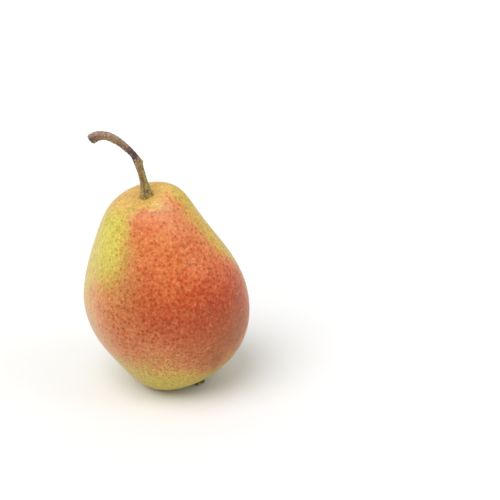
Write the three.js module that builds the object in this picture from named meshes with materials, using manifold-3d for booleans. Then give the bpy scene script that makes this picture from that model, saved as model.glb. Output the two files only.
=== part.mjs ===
// A ripe pear lying a little over on its base: the fruit, its bent woody stem, and the dried
// calyx in the shallow basin underneath. Millimetres, +Z up, floor at Z = 0, origin at the
// centre of the small flat the fruit rests on.
import * as THREE from 'three';
import Module from 'manifold-3d';
import { mergeVertices } from 'three/addons/utils/BufferGeometryUtils.js';

const wasm = await Module();
wasm.setup();

// ---- the fruit, along its own axis (eye end at 0, stem end at LENGTH) ----
const LENGTH = 89;
const HALF_WIDTH = 33.8;
// how the half width swells towards the eye end and tightens below the stem
const SWELL = [1, 0.107, 0.044, 0, 0.039];
// how far the middle of the fruit wanders sideways, so that one flank is fuller
const WANDER = [-0.7, 1.3, -1.2, -0.7];
// the base is not square to the axis: one side of it is set higher
const OBLIQUE_BASE = 0.13;
const BASIN = { x: 2.5, y: -5, depth: 1.7, radius: 5.2 };
const CAVITY = { x: 4, y: -4.6, depth: 3, radius: 6 };
// the fuller shoulder of the base that the pear stands on
const FOOT = { x: -5.5, y: 1, depth: 1.5, radius: 9 };
const FOOT_BELOW = 0.45 * LENGTH;

// ---- how it lies ----
const LEAN = 13.9;
const LEAN_FORWARD = 2;
const SHIFT = new THREE.Vector3(10.9, 0.4, 2.8);

// ---- the stem ----
// its middle line: one curve up to above the knee, then one over to the hooked tip
const STEM_RISE = [[0, 0, 0], [-0.2, -0.1, 6], [-2.6, -0.4, 16.4], [-4.7, -0.5, 18.8]];
const STEM_HOOK = [[-4.7, -0.5, 18.8], [-14.6, -0.7, 29.9], [-19.3, -0.9, 26.3], [-21.5, -0.9, 24.5]];
const STEM_RADIUS = 1.42;
const FLARE = 1.35;
const FLARE_REACH = 5;
const KNEE = { at: 15.5, swell: 0.1, bump: 0.5, reach: 1.8 };
const NECK = { at: 19.5, depth: 0.17, reach: 3 };
const THICKEN = { from: 24, to: 30, by: 0.22 };
const TIP_SWELL = { from: 33, to: 38, by: 0.36 };
const TIP_ROUND = 0.9;
const FOOT_DOME = 0.6;
const FOOT_SLOPE = 0.17;

// ---- the calyx ----
const CUP_RADIUS = 2.5;
const CUP_HEIGHT = 0.9;
const CUP_HOLLOW = 0.5;
// the five sepals: bearing round the eye, length, and how far the tip curls outward
const SEPALS = [
  { bearing: -100, length: 4.8, curl: 62 },
  { bearing: -62, length: 5.1, curl: 60 },
  { bearing: 8, length: 4.2, curl: 45 },
  { bearing: 96, length: 3.8, curl: 44 },
  { bearing: 184, length: 3, curl: 35 },
];
const SEPAL_ROOT = 1.9;
const SEPAL_LEAN = 5;
const SEPAL_HALF_WIDTH = 2.2;
// the smaller it is, the blunter the tip
const SEPAL_TAPER = 0.35;
const SEPAL_HALF_THICKNESS = 0.38;

// clear gap left between neighbouring pieces
const GAP = 0.3;

const degrees = THREE.MathUtils.degToRad;
const bump = (distance, reach) => Math.exp(-((distance / reach) ** 2));
const ramp = THREE.MathUtils.smoothstep;

// ---- solids ----

// a closed solid from a geometry, without its normals, its seam or its flattened pole faces
function solid(geometry) {
  const bare = geometry.clone();
  bare.deleteAttribute('normal');
  bare.deleteAttribute('uv');
  const merged = mergeVertices(bare, 1e-4);
  const corners = merged.index.array;
  const kept = [];
  for (let i = 0; i < corners.length; i += 3) {
    const [a, b, c] = [corners[i], corners[i + 1], corners[i + 2]];
    if (a !== b && b !== c && c !== a) kept.push(a, b, c);
  }
  const places = Float32Array.from(merged.attributes.position.array);
  const mesh = new wasm.Mesh({ numProp: 3, vertProperties: places, triVerts: Uint32Array.from(kept) });
  return new wasm.Manifold(mesh);
}

function toGeometry(body) {
  const mesh = body.getMesh();
  const geometry = new THREE.BufferGeometry();
  geometry.setAttribute('position', new THREE.BufferAttribute(mesh.vertProperties, 3));
  geometry.setIndex(new THREE.BufferAttribute(mesh.triVerts, 1));
  geometry.computeVertexNormals();
  return geometry;
}

// moves every vertex of a geometry by a rule from its old place to its new one
function reshape(geometry, rule) {
  const places = geometry.attributes.position;
  const point = new THREE.Vector3();
  for (let i = 0; i < places.count; i += 1) {
    point.fromBufferAttribute(places, i);
    rule(point);
    places.setXYZ(i, point.x, point.y, point.z);
  }
  return geometry;
}

// turned about +Z: a profile of [radius, height] points that starts and ends on the axis
function turned(profile, segments) {
  const points = profile.map(([radius, height]) => new THREE.Vector2(radius, height));
  return new THREE.LatheGeometry(points, segments).rotateX(Math.PI / 2);
}

// ---- the fruit ----

const halfWidth = (turn) => HALF_WIDTH * SWELL.reduce((sum, share, i) => sum + share * Math.sin((i + 1) * turn), 0);
const wander = (turn) => WANDER.reduce((sum, share, i) => sum + share * Math.cos((i + 1) * turn), 0);
const heightAt = (turn) => (LENGTH / 2) * (1 - Math.cos(turn));

// from the plain turned form to the lopsided one, with its basin, its cavity and its foot
function settleSkin(point) {
  const turn = Math.acos(THREE.MathUtils.clamp(1 - (2 * point.z) / LENGTH, -1, 1));
  const up = point.z / LENGTH;
  point.x += wander(turn);
  const away = (spot) => Math.hypot(point.x - spot.x, point.y - spot.y);
  if (turn < Math.PI / 2) {
    point.z += BASIN.depth * bump(away(BASIN), BASIN.radius);
    point.z += OBLIQUE_BASE * point.x * (1 - up) ** 2;
    point.z -= up * LENGTH < FOOT_BELOW ? FOOT.depth * bump(away(FOOT), FOOT.radius) : 0;
  } else {
    point.z += OBLIQUE_BASE * point.x * (1 - up) ** 2;
    point.z -= CAVITY.depth * bump(away(CAVITY), CAVITY.radius);
  }
  return point;
}

// the spot on the skin straight above or below a place beside the axis
function skinSpot(x, y, nearStem) {
  let low = nearStem ? Math.PI / 2 : 0;
  let high = nearStem ? Math.PI : Math.PI / 2;
  for (let i = 0; i < 40; i += 1) {
    const middle = (low + high) / 2;
    const inside = Math.hypot(x - wander(middle), y) < halfWidth(middle);
    if (inside === nearStem) low = middle;
    else high = middle;
  }
  return settleSkin(new THREE.Vector3(x - wander(low), y, heightAt(low)));
}

// from the fruit's own axis to the way it lies on the floor
function lay(point) {
  point.applyAxisAngle(new THREE.Vector3(0, 1, 0), degrees(-LEAN));
  point.applyAxisAngle(new THREE.Vector3(1, 0, 0), degrees(LEAN_FORWARD));
  return point.add(SHIFT);
}

const FRUIT_ROWS = 46;
const FRUIT_SEGMENTS = 56;
// rows crowd together towards both ends, where the basin and the cavity are
const CROWDING = 0.3;

const fruitProfile = [];
for (let row = 0; row <= FRUIT_ROWS; row += 1) {
  const share = row / FRUIT_ROWS;
  const turn = Math.PI * share - CROWDING * Math.sin(2 * Math.PI * share);
  const onAxis = row === 0 || row === FRUIT_ROWS;
  fruitProfile.push([onAxis ? 0 : halfWidth(turn), heightAt(turn)]);
}
const fruitForm = reshape(turned(fruitProfile, FRUIT_SEGMENTS), (point) => lay(settleSkin(point)));
const floorBlock = solid(new THREE.BoxGeometry(2 * LENGTH, 2 * LENGTH, LENGTH).translate(0, 0, -LENGTH / 2));
const fruit = solid(fruitForm).subtract(floorBlock);

// ---- the stem ----

const stemCurve = new THREE.CurvePath();
for (const leg of [STEM_RISE, STEM_HOOK]) {
  stemCurve.add(new THREE.CubicBezierCurve3(...leg.map((place) => new THREE.Vector3(...place))));
}
const STEM_LENGTH = stemCurve.getLength();
const STEM_ROWS = 44;
const STEM_SEGMENTS = 18;

function stemRadius(along) {
  return STEM_RADIUS
    + FLARE * bump(along, FLARE_REACH)
    + KNEE.swell * bump(along - KNEE.at, KNEE.reach)
    - NECK.depth * bump(along - NECK.at, NECK.reach)
    + THICKEN.by * ramp(along, THICKEN.from, THICKEN.to)
    + TIP_SWELL.by * ramp(along, TIP_SWELL.from, TIP_SWELL.to);
}

const stemProfile = [[0, 0], [0.5 * stemRadius(0), 0.25 * FOOT_DOME]];
for (let row = 0; row <= STEM_ROWS; row += 1) {
  const along = FOOT_DOME + (row / STEM_ROWS) * (STEM_LENGTH - TIP_ROUND - FOOT_DOME);
  stemProfile.push([stemRadius(along), along]);
}
const tipRadius = stemRadius(STEM_LENGTH);
stemProfile.push([0.86 * tipRadius, STEM_LENGTH - 0.4 * TIP_ROUND]);
stemProfile.push([0.5 * tipRadius, STEM_LENGTH - 0.1 * TIP_ROUND]);
stemProfile.push([0, STEM_LENGTH]);

const stemFoot = lay(skinSpot(CAVITY.x, CAVITY.y, true)).add(new THREE.Vector3(0, 0, 2 * GAP));
const sideways = new THREE.Vector3(0, 1, 0);

// carries the straight turned stem onto its curve, with the pointed bump outside the knee
function bendStem(point) {
  const along = THREE.MathUtils.clamp(point.z, 0, STEM_LENGTH);
  const centre = stemCurve.getPointAt(along / STEM_LENGTH);
  const ahead = stemCurve.getTangentAt(along / STEM_LENGTH);
  const outward = new THREE.Vector3().crossVectors(sideways, ahead).normalize();
  const across = new THREE.Vector3().crossVectors(ahead, outward);
  const facing = Math.max(0, point.x / Math.max(1e-6, Math.hypot(point.x, point.y)));
  const sharp = Math.exp(-Math.abs(along - KNEE.at) / KNEE.reach);
  const out = point.x * (1 + (KNEE.bump / STEM_RADIUS) * facing * facing * sharp);
  // the foot is cut to the slope of the shoulder it stands on
  const dip = FOOT_SLOPE * point.x * bump(along, FLARE_REACH);
  const side = point.y;
  return point.copy(centre).addScaledVector(outward, out).addScaledVector(across, side)
    .addScaledVector(ahead, dip).add(stemFoot);
}
const stem = solid(reshape(turned(stemProfile, STEM_SEGMENTS), bendStem));

// ---- the calyx ----

const eye = skinSpot(BASIN.x, BASIN.y, false);

// how the floor of the basin slopes under the calyx
const rise = (dx, dy) => skinSpot(BASIN.x + dx, BASIN.y + dy, false).z - eye.z;
const eyeSlope = { x: (rise(1, 0) - rise(-1, 0)) / 2, y: (rise(0, 1) - rise(0, -1)) / 2 };

// a shallow dished button that fills the eye, its upper face domed like the basin
const cupForm = turned([
  [0, -CUP_HEIGHT + CUP_HOLLOW],
  [0.6 * CUP_RADIUS, -CUP_HEIGHT + 0.6 * CUP_HOLLOW],
  [0.85 * CUP_RADIUS, -CUP_HEIGHT],
  [CUP_RADIUS, -0.75 * CUP_HEIGHT],
  [CUP_RADIUS, -0.5 * CUP_HEIGHT],
  [0.6 * CUP_RADIUS, -0.15 * CUP_HEIGHT],
  [0, 0],
], 30);

const SEPAL_ROWS = 9;
const SEPAL_SEGMENTS = 14;

// one pointed sepal, thin and widest near its root, curling outward to its tip
function sepal({ bearing, length, curl }) {
  const profile = [[0, 0]];
  for (let row = 1; row < SEPAL_ROWS; row += 1) {
    const share = row / SEPAL_ROWS;
    profile.push([Math.sqrt(Math.min(1, 5 * share)) * (1 - share) ** SEPAL_TAPER, share]);
  }
  profile.push([0, 1]);
  const start = degrees(SEPAL_LEAN);
  const sweep = degrees(curl) - start;
  return reshape(turned(profile, SEPAL_SEGMENTS), (point) => {
    const slope = start + sweep * point.z;
    const thick = point.x * SEPAL_HALF_THICKNESS;
    const wide = point.y * SEPAL_HALF_WIDTH;
    const out = SEPAL_ROOT + (length / sweep) * (Math.cos(start) - Math.cos(slope)) + thick * Math.cos(slope);
    const down = (length / sweep) * (Math.sin(slope) - Math.sin(start)) - thick * Math.sin(slope);
    point.set(out, -wide, -down - 0.35 * CUP_HEIGHT);
    return point.applyAxisAngle(new THREE.Vector3(0, 0, 1), degrees(bearing));
  });
}

const leaves = SEPALS.map((leaf) => solid(sepal(leaf)));
const calyxBody = leaves.reduce((whole, leaf) => whole.add(leaf), solid(cupForm));
const calyxTop = new THREE.Vector3(eye.x, eye.y, eye.z - GAP);
const calyxForm = reshape(toGeometry(calyxBody), (point) => {
  point.z += eyeSlope.x * point.x + eyeSlope.y * point.y;
  return lay(point.add(calyxTop));
});
calyxForm.computeVertexNormals();

// ---- the finished pear ----

function piece(name, geometry, colour, roughness) {
  const material = new THREE.MeshStandardMaterial({ color: colour, roughness, metalness: 0 });
  const mesh = new THREE.Mesh(geometry, material);
  mesh.name = name;
  return mesh;
}

const group = new THREE.Group();
group.name = 'pear';
group.add(piece('fruit', toGeometry(fruit), 0xd9934f, 0.45));
group.add(piece('stem', toGeometry(stem), 0x7d6440, 0.7));
group.add(piece('calyx', calyxForm, 0x4a4326, 0.85));

export default group;
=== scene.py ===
"""A ripe blushed pear with its bent stem and dried calyx, on a pale floor in soft studio light."""

import bpy
import numpy as np
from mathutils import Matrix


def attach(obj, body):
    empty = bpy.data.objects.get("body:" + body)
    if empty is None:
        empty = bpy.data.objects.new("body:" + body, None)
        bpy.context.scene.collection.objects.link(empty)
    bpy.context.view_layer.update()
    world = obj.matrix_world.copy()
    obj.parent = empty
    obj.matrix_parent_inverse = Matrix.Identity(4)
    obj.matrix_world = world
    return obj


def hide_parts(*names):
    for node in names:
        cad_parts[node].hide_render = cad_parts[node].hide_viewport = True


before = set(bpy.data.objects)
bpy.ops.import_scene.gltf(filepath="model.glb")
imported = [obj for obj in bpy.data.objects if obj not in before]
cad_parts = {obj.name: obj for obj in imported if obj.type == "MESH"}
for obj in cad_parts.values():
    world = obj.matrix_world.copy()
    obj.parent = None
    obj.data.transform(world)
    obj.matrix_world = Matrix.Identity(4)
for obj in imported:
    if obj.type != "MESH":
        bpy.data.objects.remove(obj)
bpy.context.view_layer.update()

# ---------------------------------------------------------------- camera
# A long lens stands in front of the pear, a little to its right, and looks down on it by 22
# degrees. All of the pear is in focus.
LOOKS_DOWN = 22
camera_data = bpy.data.cameras.new("camera")
camera_data.lens = 72
camera_data.sensor_width = 36
camera_data.clip_end = 50
camera = bpy.data.objects.new("camera", camera_data)
camera.location = (0.03634, -0.39263, 0.2196)
camera.rotation_euler = (np.radians(90 - LOOKS_DOWN), 0, 0)
bpy.context.collection.objects.link(camera)
bpy.context.scene.camera = camera

# ---------------------------------------------------------------- fruit
# One grown body under a thin waxy skin, widest low down and drawn in below the stem. It lies
# a little over on a fuller side of its base. Lengths here are in millimetres along its axis.
MM = 0.001
LENGTH = 89.0
HALF_WIDTH = 33.8
SWELL = (1.0, 0.107, 0.044, 0.0, 0.039)
WANDER = (-0.7, 1.3, -1.2, -0.7)
OBLIQUE_BASE = 0.13
BASIN = dict(x=2.5, y=-5.0, depth=1.7, radius=5.2)
CAVITY = dict(x=4.0, y=-4.6, depth=3.0, radius=6.0)
FOOT = dict(x=-5.5, y=1.0, depth=1.5, radius=9.0)
LEAN = np.radians(13.9)
LEAN_FORWARD = np.radians(2.0)
SHIFT = np.array([10.9, 0.4, 2.8])
REST_SOFTNESS = 0.12


def bell(distance, reach):
    """One where the distance is nothing, falling off as a bell curve of the given reach."""
    return np.exp(-((distance / reach) ** 2))


def smooth(value, low, high):
    """Nought below low, one above high, and an even S-shaped rise between."""
    share = np.clip((value - low) / (high - low), 0, 1)
    return share * share * (3 - 2 * share)


def tilt(level, upright, angle):
    """Turns a level and an upright distance by an angle, by its cosine and sine."""
    return (level * np.cos(angle) - upright * np.sin(angle),
            level * np.sin(angle) + upright * np.cos(angle))


def lay(x, y, z):
    """Turns points from the fruit's own axis to the way it lies: leant over to the left, then
    tipped forward, then set down on the floor."""
    x, z = tilt(x, z, LEAN)
    y, z = tilt(y, z, LEAN_FORWARD)
    return np.stack([x, y, z], -1) + SHIFT


def skin(turn, bearing):
    """The skin before it is laid down. Turn runs from the eye (0) to the stem (pi) and bearing
    goes round. Height is half the length times one minus cosine of turn. Half width is a sum of
    sines of turn, and the middle wanders by a sum of cosines of turn. The base is oblique: it
    rises with x, most at the eye. Bells press in the basin and the cavity, raise a collar round
    the stem and let down the foot, and low waves keep the flanks from being quite even."""
    half = HALF_WIDTH * sum(share * np.sin((i + 1) * turn) for i, share in enumerate(SWELL))
    waves = 0.22 * np.sin(3 * bearing + 1.1) * np.sin(2 * turn) + 0.16 * np.sin(5 * bearing + 2.0 * turn)
    waves += 0.1 * np.sin(9 * bearing - 4 * turn) * np.sin(6 * turn + 0.5)
    half = half + waves * np.sin(turn) ** 2
    up = (1 - np.cos(turn)) / 2
    x = half * np.cos(bearing) + sum(share * np.cos((i + 1) * turn) for i, share in enumerate(WANDER))
    y = half * np.sin(bearing)
    z = LENGTH * up
    z = z + OBLIQUE_BASE * x * (1 - up) ** 2
    low = turn < np.pi / 2
    eye_x, eye_y = x - BASIN["x"], y - BASIN["y"]
    from_eye = np.hypot(eye_x, eye_y)
    about_eye = np.arctan2(eye_y, eye_x)
    pucker = 1 + 0.16 * np.cos(5 * about_eye + 0.6) * bell(from_eye - 4.5, 3.0)
    z = z + np.where(low, BASIN["depth"] * bell(from_eye, BASIN["radius"]) * pucker, 0)
    from_foot = np.hypot(x - FOOT["x"], y - FOOT["y"])
    z = z - np.where(low & (up < 0.45), FOOT["depth"] * bell(from_foot, FOOT["radius"]), 0)
    top_x, top_y = x - CAVITY["x"], y - CAVITY["y"]
    from_stem = np.hypot(top_x, top_y)
    about_stem = np.arctan2(top_y, top_x)
    crease = 1 + 0.12 * np.cos(4 * about_stem + 0.4) * bell(from_stem - 5, 3.0)
    collar = 0.55 * bell(from_stem - 2.7, 1.1)
    z = z + np.where(low, 0, collar - CAVITY["depth"] * bell(from_stem, CAVITY["radius"]) * crease)
    return x, y, z


def settle(points):
    """Lets the underside go flat where it rests. Each height becomes half the sum of itself and
    the root of its square plus a little, so heights near or below the floor bend softly to just
    above it."""
    height = points[..., 2]
    points[..., 2] = 0.5 * (height + np.sqrt(height ** 2 + REST_SOFTNESS))
    return points


def closed_surface(name, points):
    """A closed mesh from a grid of points in millimetres, rows by columns. Columns close round
    on themselves, and the first and last rows draw in to one point each at their middle."""
    rows, columns = points.shape[:2]
    ends = np.stack([points[0].mean(0), points[-1].mean(0)])
    inner = points[1:-1].reshape(-1, 3)
    places = np.concatenate([ends[:1], inner, ends[1:]]) * MM
    row = np.arange(rows - 3)[:, None] * columns + 1
    here = np.arange(columns)
    after = (here + 1) % columns
    quads = np.stack([row + here, row + after, row + columns + after, row + columns + here], -1)
    last = len(places) - 1
    top = 1 + (rows - 3) * columns
    fans = np.concatenate([
        np.stack([np.zeros(columns, int), 1 + after, 1 + here], -1),
        np.stack([np.full(columns, last), top + here, top + after], -1),
    ])
    mesh = bpy.data.meshes.new(name)
    mesh.from_pydata(places.tolist(), [], quads.reshape(-1, 4).tolist() + fans.tolist())
    mesh.update()
    mesh.polygons.foreach_set("use_smooth", np.ones(len(mesh.polygons), bool))
    piece = bpy.data.objects.new(name, mesh)
    bpy.context.collection.objects.link(piece)
    return piece


def paint(piece, name, values):
    """Keeps one number per point of the grid on the mesh, for its material to read. The points
    at the two ends take the mean of their rows."""
    held = np.concatenate([values[:1].mean(1), values[1:-1].ravel(), values[-1:].mean(1)])
    piece.data.attributes.new(name, "FLOAT", "POINT").data.foreach_set("value", held.astype(np.float32))


# The rows stand closer together towards the eye and the stem than round the belly.
FRUIT_ROWS = 300
FRUIT_COLUMNS = 330
share = np.linspace(0, 1, FRUIT_ROWS)[:, None]
turn = np.pi * share - 0.2 * np.sin(2 * np.pi * share) + np.zeros((1, FRUIT_COLUMNS))
bearing = np.linspace(0, 2 * np.pi, FRUIT_COLUMNS, endpoint=False)[None, :] + 0 * turn
fruit = closed_surface("pear_fruit", settle(lay(*skin(turn, bearing))))

# Where the colours lie on the skin, in degrees. Front is 0 facing the front and grows to the
# right, and rise is 0 at the eye and 180 at the stem.
front = (np.degrees(bearing) + 90 + 180) % 360 - 180
rise = np.degrees(turn)
fruit_x, fruit_y, _ = skin(turn, bearing)
OUT_OF_REACH = 99
from_stem = np.hypot(fruit_x - CAVITY["x"], fruit_y - CAVITY["y"]) + OUT_OF_REACH * (turn < np.pi / 2)
from_eye = np.hypot(fruit_x - BASIN["x"], fruit_y - BASIN["y"]) + OUT_OF_REACH * (turn > np.pi / 2)


def patches(*spots):
    """The sum of soft oval patches, each a bell in front and in rise. A spot gives its front and
    rise, its reach in each, and its own strength."""
    total = np.zeros_like(rise)
    for at, up, wide, tall, strength in spots:
        aside = (front - at + 180) % 360 - 180
        total = total + strength * np.exp(-((aside / wide) ** 2) - ((rise - up) / tall) ** 2)
    return total


def stain(*spots):
    """Soft oval patches, held between nought and one."""
    return np.clip(patches(*spots), 0, 1)


def blush_amount():
    """How red the skin is, nought to one. On the sunny side it rises evenly from a left edge
    that swings far round lower down, and falls off at a soft right edge that swings round too.
    It is deepest round the belly, fades out below the stem and towards the base, and soft
    patches deepen or thin it. A little pale blush lies round the back."""
    below = smooth(122 - rise, 0, 24)
    sunny = np.clip((front + 44 + 50 * below) / (46 + 52 * below), 0, 1) ** (1.3 - 0.3 * below)
    sunny = sunny * smooth(91 + 14 * smooth(108 - rise, 0, 20) - front, 0, 38)
    sunny = sunny * smooth(168 + 6 * smooth(front, 10, 40) - rise, 0, 34)
    # Low on the right the blush reaches further down and deepens: partly the fruit's own red, partly painted
    # shade.
    towards_right = smooth(front, -10, 30)
    sunny = sunny * smooth(rise, 30 - 14 * towards_right, 92 - 12 * towards_right)
    deeper = patches(
        (-5, 144, 8, 7, 0.34), (12, 146, 14, 8, 0.2), (30, 155, 11, 7, -0.26), (38, 122, 16, 9, 0.06),
        (58, 126, 12, 16, -0.08), (2, 112, 14, 18, 0.1), (46, 110, 16, 9, -0.1), (11, 105, 10, 7, -0.18),
        (60, 88, 20, 9, 0.08), (38, 82, 16, 10, 0.1), (-12, 64, 20, 9, -0.1), (-24, 106, 14, 12, -0.08),
        (12, 67, 24, 12, -0.14), (2, 77, 12, 7, -0.08), (68, 134, 9, 10, -0.12),
    )
    smudge = patches((6, 153, 10, 5, 0.14), (-19, 151, 10, 6, 0.15), (-56, 109, 12, 9, 0.12))
    behind = patches((150, 100, 40, 26, 0.24), (-140, 115, 34, 26, 0.16))
    return np.clip(sunny * (0.5 + 0.34 * smooth(132 - rise, 0, 40) + deeper) + smudge + behind, 0, 1)


# Each paint says how much of one colour lies at each point: gold round the stem, amber on the far
# right, olive at the base, and so on. Freckle is how strong the lenticels are, and fine how far
# they are small and close. The greying paint is mostly painted shade, darker towards the base, and
# the waxy paint is a painted highlight, a pale sheen near the stem and a pale rim on the left.
paint(fruit, "blush", blush_amount())
paint(fruit, "gold", smooth(rise, 145, 163))
paint(fruit, "amber", stain((90, 128, 26, 28, 1.0), (100, 95, 30, 20, 0.5)))
paint(fruit, "olive", smooth(66 - rise, 0, 26))
paint(fruit, "freckle", 0.7 - 0.36 * smooth(rise, 146, 165) + patches(
    (-16, 97, 30, 16, 0.3), (10, 60, 70, 26, 0.3), (-50, 130, 20, 20, -0.28), (26, 84, 60, 30, 0.24)))
paint(fruit, "fine", smooth(86 - rise, 0, 30))
# Darker towards the base: painted shade, with a few patches that grey it more or lift it.
dull_and_shade_patches = patches(
    (-12, 126, 14, 24, 0.55), (-18, 155, 36, 8, 0.4), (-18, 104, 24, 18, 0.55), (62, 96, 34, 26, -0.7))
paint(fruit, "dull_and_shade", np.clip(smooth(118 - rise, 0, 44) - 0.5 * smooth(66 - rise, 0, 26) + dull_and_shade_patches, 0, 1))
# Brown low on the right: partly a russet patch, partly painted shade.
paint(fruit, "russet_and_shade", stain((56, 54, 26, 20, 0.6), (27, 46, 17, 15, 0.5)))
paint(fruit, "ochre", stain((-30, 108, 22, 12, 0.7), (-16, 130, 9, 16, 0.5), (-52, 112, 14, 9, 0.3)))
# Painted sheen: a pink highlight on the upper right, and painted light on the right flank.
paint(fruit, "painted_pink_sheen", stain(
    (46, 136, 20, 12, 0.9), (22, 143, 14, 8, 0.5), (56, 158, 20, 7, 0.8), (48, 107, 11, 8, 0.5),
    (65, 95, 14, 9, 0.6)))
paint(fruit, "vivid", stain((-3, 136, 9, 20, 0.75), (-6, 112, 10, 12, 0.3), (12, 145, 8, 6, 0.4)))
paint(fruit, "basin", 0.85 * bell(np.maximum(from_eye - 4, 0), 4.5))
# Painted shade: a dark ring round the foot of the stem and a darker cavity round it.
paint(fruit, "painted_stem_shade", np.clip(bell(from_stem - 2.5, 0.9) + 0.35 * bell(from_stem, 5), 0, 1))
# Painted highlight: a pale sheen near the stem and a pale rim down the left.
paint(fruit, "painted_sheen", patches((36, 150, 18, 9, 0.5), (-60, 82, 17, 32, 1.05), (-84, 128, 16, 34, 0.6)))


class Finish:
    """Lays out the nodes of one finish: each call adds a node, sets its inputs and gives back
    the node or its output."""

    def __init__(self, name):
        self.material = bpy.data.materials.new(name)
        self.material.use_nodes = True
        self.tree = self.material.node_tree
        self.shader = self.tree.nodes["Principled BSDF"]
        self.place = self.add("ShaderNodeTexCoord").outputs["Object"]

    def add(self, kind, settings=None, **inputs):
        """A node with its settings made and its inputs set or linked."""
        node = self.tree.nodes.new(kind)
        for key, value in (settings or {}).items():
            setattr(node, key, value)
        for key, value in inputs.items():
            self.put(node.inputs[key.replace("_", " ")], value)
        return node

    def put(self, painted_stem_shade, value):
        """Links an output to a socket, or sets the socket to a plain value."""
        if isinstance(value, bpy.types.NodeSocket):
            self.tree.links.new(value, painted_stem_shade)
        else:
            painted_stem_shade.default_value = value

    def maths(self, operation, first, second, clamp=False):
        """One sum on two numbers, held between nought and one if clamp is given."""
        node = self.add("ShaderNodeMath", dict(operation=operation, use_clamp=clamp))
        self.put(node.inputs[0], first)
        self.put(node.inputs[1], second)
        return node.outputs[0]

    def times(self, first, second, clamp=False):
        """The first number times the second."""
        return self.maths("MULTIPLY", first, second, clamp)

    def plus(self, first, second, clamp=False):
        """The first number plus the second."""
        return self.maths("ADD", first, second, clamp)

    def swing(self, value, reach):
        """A noise that runs either side of a half, brought to run either side of nought."""
        return self.times(self.maths("SUBTRACT", value, 0.5), reach)

    def span(self, value, low, high, start=0.0, end=1.0):
        """Start below low, end above high, and an even S-shaped change between."""
        node = self.add("ShaderNodeMapRange", dict(interpolation_type="SMOOTHSTEP"))
        for i, part in enumerate((value, low, high, start, end)):
            self.put(node.inputs[i], part)
        return node.outputs[0]

    def blended(self, share, first, second):
        """Two plain numbers mixed by a share."""
        node = self.add("ShaderNodeMix", dict(data_type="FLOAT"))
        for i, part in ((0, share), (2, first), (3, second)):
            self.put(node.inputs[i], part)
        return node.outputs[0]

    def mix(self, share, first, second, blend="MIX"):
        """Two colours mixed by a share."""
        node = self.add("ShaderNodeMix", dict(data_type="RGBA", blend_type=blend))
        self.put(node.inputs["Factor"], share)
        self.put(node.inputs[6], first)
        self.put(node.inputs[7], second)
        return node.outputs[2]

    def stained(self, colour, name, unevenness, weakest, strongest, stain_colour):
        """A colour with a painted stain over it, its strength uneven as a noise goes."""
        share = self.times(self.held(name), self.span(unevenness, 0.2, 0.8, weakest, strongest))
        return self.mix(share, colour, stain_colour)

    def noise(self, scale, detail, rough, place=None):
        """A soft noise about a half, with this many bumps to the metre."""
        return self.add("ShaderNodeTexNoise", Vector=place or self.place, Scale=scale, Detail=detail,
                        Roughness=rough).outputs[0]

    def held(self, name):
        """The number that a paint keeps on the mesh."""
        return self.add("ShaderNodeAttribute", dict(attribute_name=name)).outputs["Fac"]

    def ramp(self, value, stops):
        """A colour that runs between stops, each a place and the colour there."""
        node = self.add("ShaderNodeValToRGB", Fac=value)
        steps = node.color_ramp.elements
        while len(steps) < len(stops):
            steps.new(0.5)
        for step, (at, colour) in zip(steps, stops):
            step.position = at
            step.color = colour
        return node.outputs["Color"]

    def bump(self, distance, relief):
        """Shades the surface as if the relief stood up by a distance in metres."""
        node = self.add("ShaderNodeBump", Strength=0.6, Distance=distance, Height=relief)
        self.put(self.shader.inputs["Normal"], node.outputs[0])


def rgb(red, green, blue):
    """A colour given as it looks on screen, in 0 to 255, turned to the shader's linear scale."""
    shown = np.array([red, green, blue]) / 255
    linear = np.where(shown <= 0.04045, shown / 12.92, ((shown + 0.055) / 1.055) ** 2.4)
    return (*[float(part) for part in linear], 1.0)


# The waxy skin. Its unevenness comes in four sizes, from clouds a centimetre across to grit
# under a millimetre.
wax = Finish("pear_skin")
blush, fine = wax.held("blush"), wax.held("fine")
cloud, mottle = wax.noise(75, 4, 0.6), wax.noise(210, 3, 0.6)
streak, grit = wax.noise(420, 3, 0.65), wax.noise(1150, 2, 0.6)

# Lenticels: one dot in the middle of each cell of a pattern that a noise nudges out of true,
# some strong and some faint, with a paler halo round it. Low down they are finer and closer.
LENTICELS_TO_A_METRE = 570.0
FINE_LENTICELS_TO_A_METRE = 820.0
NUDGE = 0.0014
wobble = wax.add("ShaderNodeVectorMath", dict(operation="MULTIPLY_ADD"))
wax.put(wobble.inputs[0], wax.add("ShaderNodeTexNoise", Vector=wax.place, Scale=620.0).outputs["Color"])
wobble.inputs[1].default_value = (NUDGE, NUDGE, NUDGE)
wax.put(wobble.inputs[2], wax.place)
nudged = wobble.outputs[0]
specks = wax.add("ShaderNodeTexVoronoi", Vector=nudged, Scale=LENTICELS_TO_A_METRE)
fine_specks = wax.add("ShaderNodeTexVoronoi", Vector=nudged, Scale=FINE_LENTICELS_TO_A_METRE)
chance = wax.add("ShaderNodeSeparateColor", Color=specks.outputs["Color"]).outputs[0]
from_speck, from_fine_speck = specks.outputs["Distance"], fine_specks.outputs["Distance"]
core = wax.times(wax.span(from_speck, 0.13, 0.5, 1, 0), wax.span(chance, 0.0, 0.8, 0.3, 1))
dots = wax.blended(fine, core, wax.span(from_fine_speck, 0.1, 0.5, 0.9, 0))
halo = wax.blended(fine, wax.span(from_speck, 0.2, 0.8, 1, 0), wax.span(from_fine_speck, 0.2, 0.8, 1, 0))

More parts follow.
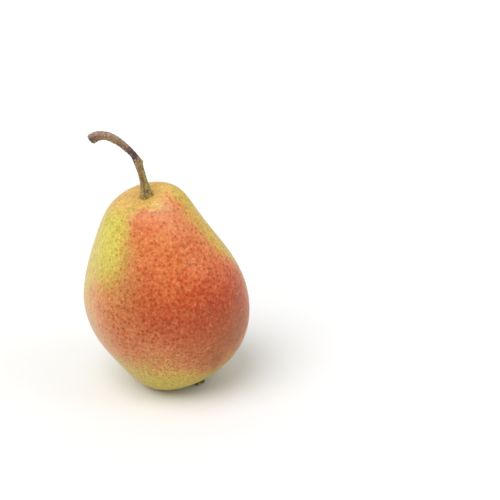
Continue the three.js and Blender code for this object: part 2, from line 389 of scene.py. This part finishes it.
# The ground goes from yellow-green to gold, amber and olive, and the blush lies over it, its
# depth broken up by the unevenness.
uneven = wax.plus(wax.plus(wax.swing(cloud, 0.32), wax.swing(mottle, 0.34)),
                  wax.plus(wax.swing(streak, 0.16), wax.swing(halo, 0.1)))
depth = wax.plus(blush, wax.times(uneven, wax.span(blush, 0.0, 0.5, 0.25, 1)), clamp=True)
gold_share = wax.plus(wax.held("gold"), wax.swing(cloud, 0.5), clamp=True)
olive_share = wax.plus(wax.held("olive"), wax.swing(mottle, 0.6), clamp=True)
ground = wax.mix(gold_share, rgb(205, 191, 80), rgb(221, 175, 92))
ground = wax.mix(wax.held("amber"), ground, rgb(221, 177, 50))
ground = wax.mix(olive_share, ground, rgb(196, 172, 62))
red = wax.ramp(depth, [
    (0.0, rgb(212, 184, 78)), (0.2, rgb(216, 158, 72)), (0.4, rgb(220, 134, 74)), (0.6, rgb(210, 108, 52)),
    (0.8, rgb(196, 83, 29)), (1.0, rgb(176, 55, 13)),
])
flesh = wax.mix(wax.span(depth, 0.0, 0.4), ground, red)
tanned = wax.span(wax.noise(290, 3, 0.6, nudged), 0.52, 0.7)
tan_share = wax.times(tanned, wax.span(blush, 0.1, 0.5, 0.0, 0.3))
flesh = wax.mix(tan_share, flesh, rgb(204, 132, 58))
flesh = wax.stained(flesh, "ochre", mottle, 0.3, 0.9, rgb(190, 134, 56))
flesh = wax.stained(flesh, "vivid", cloud, 0.4, 1.0, rgb(206, 104, 30))
# Pink painted sheen, and painted light on the right side.
flesh = wax.stained(flesh, "painted_pink_sheen", cloud, 0.2, 0.5, rgb(242, 148, 112))

# A pale net runs between the lenticels, and a fine grain lightens and darkens the whole.
pale_net = wax.times(wax.span(grit, 0.42, 0.72), wax.span(halo, 0.7, 0.1, 0.0, 0.16))
flesh = wax.mix(pale_net, flesh, wax.mix(blush, rgb(230, 220, 128), rgb(243, 178, 128)))
grain = wax.plus(wax.plus(wax.swing(grit, 0.92), wax.swing(streak, 0.6)), 1.0)
flesh = wax.mix(1.0, flesh, grain, "MULTIPLY")
speck_colour = wax.ramp(depth, [(0.0, rgb(158, 134, 8)), (0.25, rgb(176, 102, 2)), (0.8, rgb(168, 60, 0))])
colour = wax.mix(wax.times(dots, wax.held("freckle")), flesh, speck_colour)
# Brown low on the right, partly russet and partly painted shade.
colour = wax.stained(colour, "russet_and_shade", mottle, 0.6, 1.2, rgb(146, 80, 28))
colour = wax.stained(colour, "basin", streak, 0.7, 1.0, rgb(124, 112, 42))
# Painted shade: the skin is greyed darker towards the base.
colour = wax.mix(wax.held("dull_and_shade"), colour, rgb(228, 232, 240), "MULTIPLY")
# Painted highlight: a pale sheen near the stem and a pale rim on the left.
colour = wax.mix(wax.times(wax.held("painted_sheen"), 0.44, clamp=True), colour, rgb(218, 178, 156))
# Painted shade round the foot of the stem and down in its cavity.
colour = wax.stained(colour, "painted_stem_shade", streak, 0.3, 0.9, rgb(150, 116, 48))

# A few small marks, each with its front, its rise, its reach in millimetres and its tone. The
# brown and tan ones are scuffs and scars; the pale ones are small scuffs painted as glints of
# highlight.
MARK_AND_GLINT_COLOURS = dict(pale=rgb(244, 184, 144), tan=rgb(208, 136, 88), brown=rgb(120, 56, 24))
MARKS_AND_GLINTS = [
    (37.5, 112.3, 0.5, "pale"), (39.8, 111.5, 0.55, "pale"), (42, 111.2, 0.55, "pale"),
    (44, 112, 0.45, "pale"), (40, 109.8, 0.7, "brown"), (42.8, 109.7, 0.6, "brown"),
    (-1, 138.6, 0.4, "pale"), (0.8, 137, 0.4, "pale"), (-3, 135.4, 0.35, "pale"),
    (27, 62, 1.1, "tan"), (29, 60.6, 0.7, "brown"), (-33, 79, 0.8, "brown"),
]
for mark_front, mark_rise, reach, tone in MARKS_AND_GLINTS:
    away = wax.add("ShaderNodeVectorMath", dict(operation="DISTANCE"))
    wax.put(away.inputs[0], wax.place)
    away.inputs[1].default_value = lay(*skin(np.radians(mark_rise), np.radians(mark_front - 90))) * MM
    marked = wax.span(away.outputs["Value"], 0.2 * reach * MM, reach * MM, 0.6, 0)
    colour = wax.mix(marked, colour, MARK_AND_GLINT_COLOURS[tone])

wax.put(wax.shader.inputs["Base Color"], colour)
wax.put(wax.shader.inputs["Roughness"], wax.span(streak, 0.25, 0.75, 0.34, 0.5))
wax.shader.inputs["Specular IOR Level"].default_value = 0.36
wax.shader.inputs["Coat Weight"].default_value = 0.07
wax.shader.inputs["Coat Roughness"].default_value = 0.28
wax.bump(0.00028, wax.plus(wax.times(dots, 0.4), wax.plus(wax.times(grit, 0.5), wax.times(streak, 0.6))))
fruit.data.materials.append(wax.material)
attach(fruit, "root")
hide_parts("fruit")

# ---------------------------------------------------------------- stem
# The woody stalk the pear hung from. It flares into the shoulder of the fruit, has an old bud
# scar at its knee and a dark pinched band, and ends in the swollen joint where it broke off.
STEM_RISE = np.array([[0, 0, 0], [-0.2, -0.1, 6], [-2.6, -0.4, 16.4], [-4.7, -0.5, 18.8]])
STEM_HOOK = np.array([[-4.7, -0.5, 18.8], [-14.6, -0.7, 29.9], [-19.3, -0.9, 26.3], [-21.5, -0.9, 24.5]])
STEM_ROWS = 300
STEM_COLUMNS = 72
HALF_THICKNESS = 1.42
FLARE = 1.35
KNEE = 15.5
BAND = 19.5
ROUNDED_END = 0.9
SINK = 0.9
SINK_MORE_ON_RIGHT = 0.35


def bezier(ends):
    """A cubic Bezier curve from the first point to the last, drawn aside by the two between."""
    t = np.linspace(0, 1, 1001)[:, None]
    s = 1 - t
    return s ** 3 * ends[0] + 3 * s ** 2 * t * ends[1] + 3 * s * t ** 2 * ends[2] + t ** 3 * ends[3]


def curve_by_length(legs, count):
    """Even steps along Bezier curves laid end to end: places and the unit direction at each, and
    how far along each one is."""
    fine_line = np.concatenate([bezier(legs[0]), bezier(legs[1])[1:]])
    run = np.concatenate([[0], np.cumsum(np.linalg.norm(np.diff(fine_line, axis=0), axis=1))])
    along = np.linspace(0, run[-1], count)
    line = np.stack([np.interp(along, run, fine_line[:, i]) for i in range(3)], -1)
    ahead = np.gradient(line, axis=0)
    return line, ahead / np.linalg.norm(ahead, axis=1, keepdims=True), along


def stem_radius(along):
    """Half thickness of the stem at each distance from its foot: an even stalk with a bell flare
    at the foot, a swelling at the knee, a pinch at the band and two swellings towards the tip."""
    stalk = HALF_THICKNESS + FLARE * bell(along, 5) + 0.1 * bell(along - KNEE, 1.8)
    return stalk - 0.17 * bell(along - BAND, 3) + 0.22 * smooth(along, 24, 30) + 0.36 * smooth(along, 33, 38)


def skin_at(turns, spot):
    """The point of the skin nearest to a spot as seen along the axis, before the fruit is laid
    down: the skin is worked out on a fine grid over these turns and its closest point taken."""
    x, y, z = skin(turns[:, None], np.linspace(0, 2 * np.pi, 720)[None, :])
    nearest = np.argmin(np.hypot(x - spot["x"], y - spot["y"]))
    return x.flat[nearest], y.flat[nearest], z.flat[nearest]


# The surface is the line plus the radius times two directions across it, one to the right and
# one to the back. Ridges run along it, lumps and the bud scar swell it, its end rounds off into
# a dished break, and its foot goes down into the skin, deepest on the right.
line, ahead, along = curve_by_length((STEM_RISE, STEM_HOOK), STEM_ROWS)
rightward = np.cross([0, 1, 0], ahead)
rightward /= np.linalg.norm(rightward, axis=1, keepdims=True)
backward = np.cross(ahead, rightward)
around = np.linspace(0, 2 * np.pi, STEM_COLUMNS, endpoint=False)[None, :]
run = along[:, None]
end = along[-1]
ridges = 0.07 * np.sin(7 * around + 0.12 * run) + 0.05 * np.sin(12 * around - 0.2 * run + 1)
lumps = 0.05 * np.sin(2.1 * run + 3 * around) * np.sin(0.9 * run + 1) + 0.04 * np.sin(4.3 * run - 2 * around)
scar = 0.75 * np.clip(np.cos(around), 0, 1) ** 3 * np.exp(-np.abs(run - KNEE) / 1.6)
radius = stem_radius(run) + ridges * (0.6 + 0.6 * smooth(run, 30, 36)) + lumps + scar
closing = np.sqrt(np.clip(1 - np.clip((run - (end - ROUNDED_END)) / ROUNDED_END, 0, 1) ** 2, 0, 1))
radius = radius * (0.02 + 0.98 * closing)
dished = -0.7 * smooth(run, end - 0.35, end)
sunk = (SINK + SINK_MORE_ON_RIGHT * np.cos(around)) * np.exp(-run / 2.0)
stem_points = line[:, None] + radius[..., None] * (
    np.cos(around)[..., None] * rightward[:, None] + np.sin(around)[..., None] * backward[:, None])
stem_foot = lay(*skin_at(np.linspace(np.pi / 2, np.pi, 900), CAVITY))
stem_points = stem_points + (dished - sunk)[..., None] * ahead[:, None] + stem_foot
stem = closed_surface("pear_stem", stem_points)

# The paints: how far along the stem, which side of it, and a dark streak up the front of its
# lower part.
paint(stem, "along", run + 0 * around)
paint(stem, "side", np.cos(around) + 0 * run)
streak_up_front = bell(np.cos(around) + 0.14 - 0.02 * run, 0.26) * (np.sin(around) < 0)
paint(stem, "streak", streak_up_front * smooth(run, 0.8, 3) * smooth(12 - run, 0, 3))

# The bark is green-brown below the band, near black at it and red-brown above it, paler along
# some sides, with pale flecks and dark pits.
BARK_LENGTH = 40.0
wood = Finish("pear_stem_bark")
along_stem, side = wood.held("along"), wood.held("side")
grain = wood.noise(420, 4, 0.65)
far = wood.plus(wood.maths("DIVIDE", along_stem, BARK_LENGTH), wood.swing(grain, 0.07))
far = wood.plus(far, wood.times(side, -0.02))
bark = wood.ramp(far, [
    (0.0, rgb(146, 116, 44)), (0.08, rgb(158, 132, 66)), (0.2, rgb(138, 108, 52)), (0.31, rgb(136, 102, 52)),
    (0.38, rgb(164, 134, 84)), (0.42, rgb(122, 90, 60)), (0.45, rgb(68, 52, 54)), (0.54, rgb(74, 56, 54)),
    (0.57, rgb(126, 82, 64)), (0.64, rgb(124, 90, 60)), (0.72, rgb(146, 116, 70)), (0.8, rgb(146, 104, 76)),
    (0.9, rgb(140, 98, 76)), (0.95, rgb(110, 72, 52)), (1.0, rgb(56, 40, 34)),
])
low_part, high_part = wood.span(along_stem, 15, 11), wood.span(along_stem, 22, 25)
bark = wood.mix(wood.times(wood.span(side, 0.2, 0.7, 0.0, 0.7), low_part), bark, rgb(158, 152, 78))
bark = wood.mix(wood.times(wood.span(side, -0.55, -0.95, 0.0, 0.45), low_part), bark, rgb(170, 150, 112))
bark = wood.mix(wood.times(wood.span(side, 0.2, 0.8, 0.0, 0.5), high_part), bark, rgb(164, 146, 134))
bark = wood.mix(wood.times(wood.span(side, -0.2, -0.8, 0.0, 0.55), high_part), bark, rgb(112, 102, 60))
bark = wood.mix(wood.times(wood.held("streak"), 0.8), bark, rgb(98, 74, 18))
fleck = wood.span(wood.noise(1100, 2, 0.7), 0.56, 0.68)
bark = wood.mix(wood.times(fleck, 0.65), bark, rgb(208, 180, 138))
pit = wood.span(wood.noise(700, 3, 0.6), 0.36, 0.46, 1, 0)
bark = wood.mix(wood.times(pit, 0.65), bark, rgb(70, 46, 24))
bark = wood.mix(1.0, bark, wood.plus(wood.swing(wood.noise(950, 3, 0.7), 1.8), 0.95), "MULTIPLY")
wood.put(wood.shader.inputs["Base Color"], bark)
wood.shader.inputs["Roughness"].default_value = 0.58
wood.bump(0.0003, wood.plus(grain, wood.times(wood.noise(1400, 3, 0.6), 0.6)))
stem.data.materials.append(wood.material)
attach(stem, "root")
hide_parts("stem")

# ---------------------------------------------------------------- calyx
# What is left of the flower: a small dry cup in the basin underneath, with five papery sepals
# that hang from its ring and curl outwards. Two of them stand side by side at the front. Each
# sepal gives its bearing, its length and how far it curls.
SEPALS = [(-100, 4.8, 62), (-62, 5.1, 60), (8, 4.2, 45), (96, 3.8, 44), (184, 3.0, 35)]
SEPAL_HALF_WIDTH = 2.2
SEPAL_HALF_THICKNESS = 0.42
SEPAL_TAPER = 0.35
SEPAL_START = 5
RING_RADIUS = 1.9
RING_DEPTH = 0.6
CUP_RADIUS = 2.5
BASIN_TILT = (0.19, -0.08)


def hang(points, eye):
    """Sets points worked out about the eye onto the floor of the basin, which rises with x and
    falls with y."""
    x, y, z = points[..., 0], points[..., 1], points[..., 2]
    z = z + BASIN_TILT[0] * x + BASIN_TILT[1] * y
    return lay(x + eye[0], y + eye[1], z + eye[2])


def sepal(bearing, length, curl):
    """A flat tube round a bent line. The line sets out a little off straight down and bends
    evenly outwards to its curl, so it is an arc of a circle. The tube is an ellipse, its size
    rising as a square root over the first fifth and dying away as a low power of the length
    left, with a slight wave on its faces and across its run."""
    u = np.linspace(0, 1, 26)[:, None]
    v = np.linspace(0, 2 * np.pi, 32, endpoint=False)[None, :]
    size = np.sqrt(np.clip(5 * u, 0, 1)) * np.clip(1 - u, 0, 1) ** SEPAL_TAPER
    start, sweep = np.radians(SEPAL_START), np.radians(curl - SEPAL_START)
    slope = start + sweep * u
    aside = SEPAL_HALF_WIDTH * size * np.sin(v) + 0.15 * np.sin(4 * u)
    face = SEPAL_HALF_THICKNESS * size * np.cos(v) + 0.08 * np.sin(9 * u + 3 * np.sin(v))
    out = RING_RADIUS + length / sweep * (np.cos(start) - np.cos(slope)) + face * np.cos(slope)
    down = RING_DEPTH + length / sweep * (np.sin(slope) - np.sin(start)) - face * np.sin(slope)
    towards = np.radians(bearing)
    x = out * np.cos(towards) + aside * np.sin(towards)
    y = out * np.sin(towards) - aside * np.cos(towards)
    return np.stack([x, y, -down], -1)


def cup():
    """A small dished button: a closed profile turned round its middle, its radius and height
    running straight between a few places, with five low lobes and a slight ripple."""
    u = np.linspace(0, 1, 24)[:, None]
    v = np.linspace(0, 2 * np.pi, 60, endpoint=False)[None, :]
    places = [0, 0.15, 0.45, 0.6, 0.75, 1]
    radius = CUP_RADIUS * np.interp(u, places, [0, 0.75, 1.0, 0.95, 0.75, 0]) * (1 + 0.06 * np.cos(5 * v))
    height = np.interp(u, places, [0.0, -0.1, -0.6, -1.1, -1.0, -0.5])
    height = height + 0.05 * np.sin(9 * v) * np.sin(np.pi * u)
    return np.stack([radius * np.cos(v), radius * np.sin(v), height], -1)


husk = Finish("pear_calyx_dry")
grain = husk.noise(900, 4, 0.6)
dry = husk.ramp(grain, [(0.3, rgb(80, 74, 34)), (0.5, rgb(122, 116, 54)), (0.7, rgb(164, 150, 88))])
husk.put(husk.shader.inputs["Base Color"], dry)
husk.shader.inputs["Roughness"].default_value = 0.8
husk.bump(0.0002, grain)

eye = skin_at(np.linspace(0, np.pi / 2, 900), BASIN)
calyx_pieces = [(f"pear_sepal_{i + 1}", sepal(*sizes)) for i, sizes in enumerate(SEPALS)]
calyx_pieces.append(("pear_calyx_cup", cup()))
for name, points in calyx_pieces:
    piece = closed_surface(name, hang(points, eye))
    piece.data.materials.append(husk.material)
    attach(piece, "root")
    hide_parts("calyx")

# ---------------------------------------------------------------- floor and light
# A plain pale sheet, a broad soft lamp from the upper left, a weaker one from the right and
# white all round.
FLOOR_REACH = 20
floor_mesh = bpy.data.meshes.new("floor")
floor_corners = [(FLOOR_REACH * x, FLOOR_REACH * y, 0) for x, y in ((-1, -1), (1, -1), (1, 1), (-1, 1))]
floor_mesh.from_pydata(floor_corners, [], [(0, 1, 2, 3)])
floor = bpy.data.objects.new("floor", floor_mesh)
bpy.context.collection.objects.link(floor)
paper = Finish("floor_paper")
paper.shader.inputs["Base Color"].default_value = (0.9, 0.9, 0.9, 1)
paper.shader.inputs["Roughness"].default_value = 0.9
floor.data.materials.append(paper.material)


def far_lamp(name, towards, spread, strength):
    """A very broad, very distant soft lamp that shines along one direction: it is tipped from
    straight down by the arc tangent of the level part over the drop, and turned to face it."""
    data = bpy.data.lights.new(name, "SUN")
    data.angle = np.radians(spread)
    data.energy = strength
    lamp = bpy.data.objects.new(name, data)
    x, y, z = towards
    lamp.rotation_euler = (np.arctan2(np.hypot(x, y), -z), 0, np.arctan2(-x, y))
    bpy.context.collection.objects.link(lamp)


far_lamp("key", (0.4, 0.5, -1.0), 50, 1.9)
far_lamp("side", (-0.7, 0.2, -0.72), 30, 0.28)
world = bpy.data.worlds.new("white")
world.use_nodes = True
background = world.node_tree.nodes["Background"]
background.inputs[0].default_value = (1, 1, 1, 1)
background.inputs[1].default_value = 0.6
bpy.context.scene.world = world
bpy.context.scene.view_settings.view_transform = "Standard"
